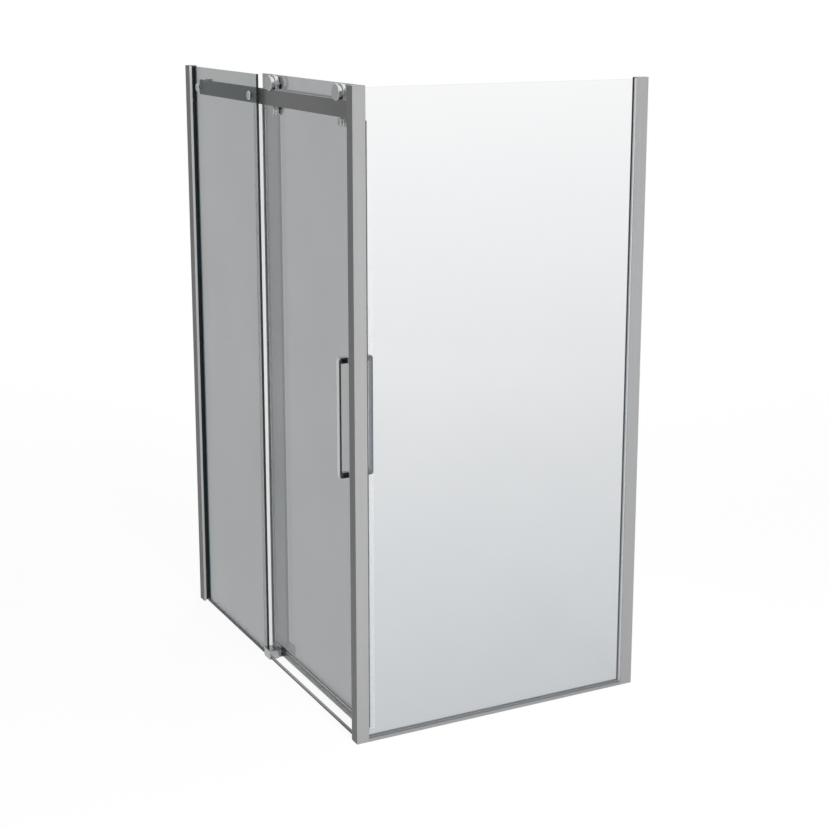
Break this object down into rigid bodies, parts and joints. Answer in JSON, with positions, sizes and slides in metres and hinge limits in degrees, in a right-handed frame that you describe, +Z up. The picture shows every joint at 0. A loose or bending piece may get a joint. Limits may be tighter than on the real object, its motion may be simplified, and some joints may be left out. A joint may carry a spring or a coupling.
{
  "type": "corner shower enclosure with sliding door",
  "caption": "Corner shower enclosure with a rail-hung sliding glass door, a fixed glass panel beside it, a glass side panel, slim polished uprights and bar handles.",
  "frame": {"origin": "on the floor, in the middle of the bounding box", "axes": "+Z is up. The door side faces -Y and the side panel faces +X, so the corner post stands at +X -Y. The walls stand at -X and +Y. The door opens towards -X."},
  "size_m": [1.36, 0.985, 1.95],
  "materials": {
    "profile_metal": "bright anodised, softly polished",
    "channel_metal": "mill finish, hidden inside the glazing profile",
    "rail_metal": "mirror polished stainless steel",
    "chrome": "polished chrome plate",
    "steel": "plain stainless fasteners",
    "screw_dark": "dark screw covers and clips",
    "fixed_glass": "clear tempered, 8 mm",
    "door_glass": "clear tempered, 8 mm",
    "gasket": "dark extruded gasket",
    "clear_seal": "translucent extruded seal",
    "magnet": "magnetic strip inside the seals",
    "nylon": "moulded pads and bushes"
  },
  "bodies": {
    "enclosure": {"corner_post": "profile_metal", "corner_post_cap": "profile_metal", "glazing_profile_front": "profile_metal", "glazing_profile_side": "profile_metal", "profile_cap_front": "profile_metal", "profile_cap_side": "profile_metal", "side_sill": "profile_metal", "threshold_strip": "profile_metal", "wall_channel_front": "channel_metal", "wall_channel_side": "channel_metal", "slide_rail": "rail_metal", "rail_bolt_caps": "chrome", "rail_spacers": "chrome", "rail_stop": "chrome", "guide_block": "chrome", "rail_bolts": "steel", "rail_end_screws": "steel", "guide_screws": "steel", "profile_screws_front": "screw_dark", "profile_screws_side": "screw_dark", "glass_clips_front": "screw_dark", "fixed_glass": "fixed_glass", "side_glass": "fixed_glass", "glazing_gaskets_front": "gasket", "glazing_gaskets_side": "gasket", "glazing_gaskets_post": "gasket", "side_sill_gaskets": "gasket", "rail_stop_bumper": "gasket", "fixed_glass_seal": "clear_seal", "strike_strip": "clear_seal", "strike_magnet": "magnet", "guide_pads": "nylon", "corner_post_foot": "nylon", "side_setting_blocks": "nylon", "rail_glass_bushes": "nylon"},
    "door": {"door_glass": "door_glass", "door_rear_seal": "clear_seal", "door_front_seal": "clear_seal", "door_magnet": "magnet", "door_bottom_seal": "clear_seal", "roller_axles": "steel", "roller_caps": "chrome", "roller_spacers": "chrome", "roller_gaskets": "nylon", "roller_inner_discs": "chrome", "roller_nuts": "chrome", "anti_lift_discs": "chrome", "anti_lift_bolts": "chrome", "anti_lift_gaskets": "nylon", "anti_lift_washers": "chrome", "handle_outer": "chrome", "handle_inner": "chrome", "handle_collars": "chrome", "handle_ferrules": "chrome", "handle_washers": "nylon", "handle_bolts": "steel"},
    "roller_front": {"roller_wheel_front": "chrome", "roller_bearing_front": "steel"},
    "roller_rear": {"roller_wheel_rear": "chrome", "roller_bearing_rear": "steel"}
  },
  "joints": [
    {"name": "door_slide", "type": "slide", "parent": "enclosure", "child": "door", "axis": [-1, 0, 0], "range_m": [0, 0.52]},
    {"name": "roller_front_spin", "type": "hinge", "parent": "door", "child": "roller_front", "pos_m": [0.51, -0.4565, 1.9226], "axis": [0, -1, 0], "range_deg": [0, 1525]},
    {"name": "roller_rear_spin", "type": "hinge", "parent": "door", "child": "roller_rear", "pos_m": [0.01, -0.4565, 1.9226], "axis": [0, -1, 0], "range_deg": [0, 1525]}
  ],
  "couplings": [
    {"joint": "roller_front_spin", "follows": "door_slide", "rad_per_m": 51.02},
    {"joint": "roller_rear_spin", "follows": "door_slide", "rad_per_m": 51.02}
  ]
}
